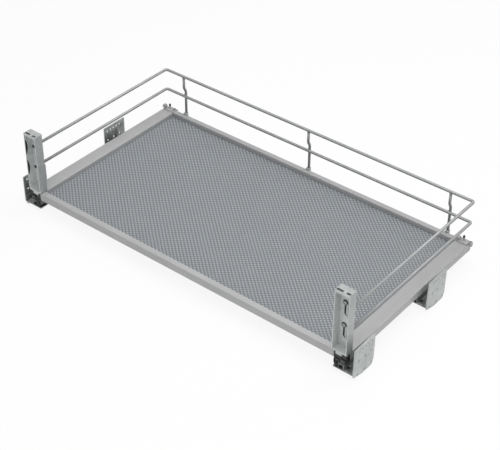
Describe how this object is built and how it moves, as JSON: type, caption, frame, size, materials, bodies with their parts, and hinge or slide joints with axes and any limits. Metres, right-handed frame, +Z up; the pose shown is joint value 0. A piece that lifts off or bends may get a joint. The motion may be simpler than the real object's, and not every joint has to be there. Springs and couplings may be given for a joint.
{
  "type": "pull-out pot basket",
  "caption": "Wide pull-out basket on ball slides with side plates, low frame, beaded mat, two front posts and two round rails on three sides",
  "frame": {"origin": "middle of the box at the level of the side plates' lower edges", "axes": "+X across the cabinet to the right seen from the front, +Y to the back of the cabinet, +Z up; the basket pulls out along -Y"},
  "size_m": [0.864, 0.444, 0.1924],
  "materials": {
    "zinc_sheet": "galvanised sheet, fine matte grain",
    "post_steel": "zinc-plated folded sheet",
    "painted_frame": "satin silver-grey powder coat",
    "painted_wire": "satin silver-grey powder coat",
    "grey_cap": "moulded, fine texture",
    "mat": "beaded grey-blue rubber",
    "panel_board": "thin board with grey laminate",
    "slide_steel": "cold-rolled strip, dark zinc plating",
    "cage_plastic": "moulded black strip",
    "ball_steel": "polished steel",
    "fastener": "zinc-plated",
    "black_plastic": "moulded black",
    "lever_plastic": "moulded dark grey",
    "pale_plastic": "moulded pale grey"
  },
  "bodies": {
    "mounting": {"front_left_plate": "zinc_sheet", "front_right_plate": "zinc_sheet", "rear_left_plate": "zinc_sheet", "rear_right_plate": "zinc_sheet", "front_left_arm": "zinc_sheet", "front_right_arm": "zinc_sheet", "rear_left_arm": "zinc_sheet", "rear_right_arm": "zinc_sheet", "cabinet_member_left": "slide_steel", "cabinet_member_right": "slide_steel", "slide_rivets": "fastener", "slide_end_caps": "black_plastic", "arm_plugs": "black_plastic"},
    "basket": {"left_post": "post_steel", "right_post": "post_steel", "left_beam": "painted_frame", "right_beam": "painted_frame", "front_beam": "painted_frame", "rear_beam": "painted_frame", "top_rail": "painted_wire", "lower_rail": "painted_wire", "left_strut": "painted_wire", "middle_strut": "painted_wire", "right_strut": "painted_wire", "rear_cap_left": "grey_cap", "rear_cap_right": "grey_cap", "anti_slip_mat": "mat", "base_panel": "panel_board", "drawer_member_left": "slide_steel", "drawer_member_right": "slide_steel", "beam_rivets": "fastener", "slot_screws": "fastener", "slot_sliders": "black_plastic", "rail_screws": "fastener", "cap_screws": "fastener", "locking_clip_left": "black_plastic", "locking_clip_right": "black_plastic", "slide_front_plugs": "black_plastic", "post_buffers": "black_plastic", "cover_tabs": "black_plastic", "catch_pins": "black_plastic", "strut_feet": "pale_plastic", "corner_bracket_left": "zinc_sheet", "corner_bracket_right": "zinc_sheet"},
    "middle_left": {"middle_member_left": "slide_steel"},
    "outer_cage_left": {"outer_cage_left": "cage_plastic", "outer_balls_left": "ball_steel"},
    "inner_cage_left": {"inner_cage_left": "cage_plastic", "inner_balls_left": "ball_steel"},
    "lever_left": {"release_lever_left": "lever_plastic"},
    "middle_right": {"middle_member_right": "slide_steel"},
    "outer_cage_right": {"outer_cage_right": "cage_plastic", "outer_balls_right": "ball_steel"},
    "inner_cage_right": {"inner_cage_right": "cage_plastic", "inner_balls_right": "ball_steel"},
    "lever_right": {"release_lever_right": "lever_plastic"}
  },
  "joints": [
    {"name": "basket_slide", "type": "slide", "parent": "mounting", "child": "basket", "axis": [0, -1, 0], "range_m": [0, 0.4]},
    {"name": "middle_left_slide", "type": "slide", "parent": "mounting", "child": "middle_left", "axis": [0, -1, 0], "range_m": [0, 0.2]},
    {"name": "outer_cage_left_slide", "type": "slide", "parent": "mounting", "child": "outer_cage_left", "axis": [0, -1, 0], "range_m": [0, 0.1]},
    {"name": "inner_cage_left_slide", "type": "slide", "parent": "mounting", "child": "inner_cage_left", "axis": [0, -1, 0], "range_m": [0, 0.3]},
    {"name": "lever_left_hinge", "type": "hinge", "parent": "basket", "child": "lever_left", "pos_m": [-0.4049, -0.2165, 0.03455], "axis": [-1, 0, 0], "range_deg": [0, 20], "stiffness_Nm_per_rad": 0.02},
    {"name": "middle_right_slide", "type": "slide", "parent": "mounting", "child": "middle_right", "axis": [0, -1, 0], "range_m": [0, 0.2]},
    {"name": "outer_cage_right_slide", "type": "slide", "parent": "mounting", "child": "outer_cage_right", "axis": [0, -1, 0], "range_m": [0, 0.1]},
    {"name": "inner_cage_right_slide", "type": "slide", "parent": "mounting", "child": "inner_cage_right", "axis": [0, -1, 0], "range_m": [0, 0.3]},
    {"name": "lever_right_hinge", "type": "hinge", "parent": "basket", "child": "lever_right", "pos_m": [0.4049, -0.2165, 0.03455], "axis": [-1, 0, 0], "range_deg": [0, 20], "stiffness_Nm_per_rad": 0.02}
  ],
  "couplings": [
    {"joint": "middle_left_slide", "follows": "basket_slide", "ratio": 0.5},
    {"joint": "outer_cage_left_slide", "follows": "basket_slide", "ratio": 0.25},
    {"joint": "inner_cage_left_slide", "follows": "basket_slide", "ratio": 0.75},
    {"joint": "middle_right_slide", "follows": "basket_slide", "ratio": 0.5},
    {"joint": "outer_cage_right_slide", "follows": "basket_slide", "ratio": 0.25},
    {"joint": "inner_cage_right_slide", "follows": "basket_slide", "ratio": 0.75}
  ]
}
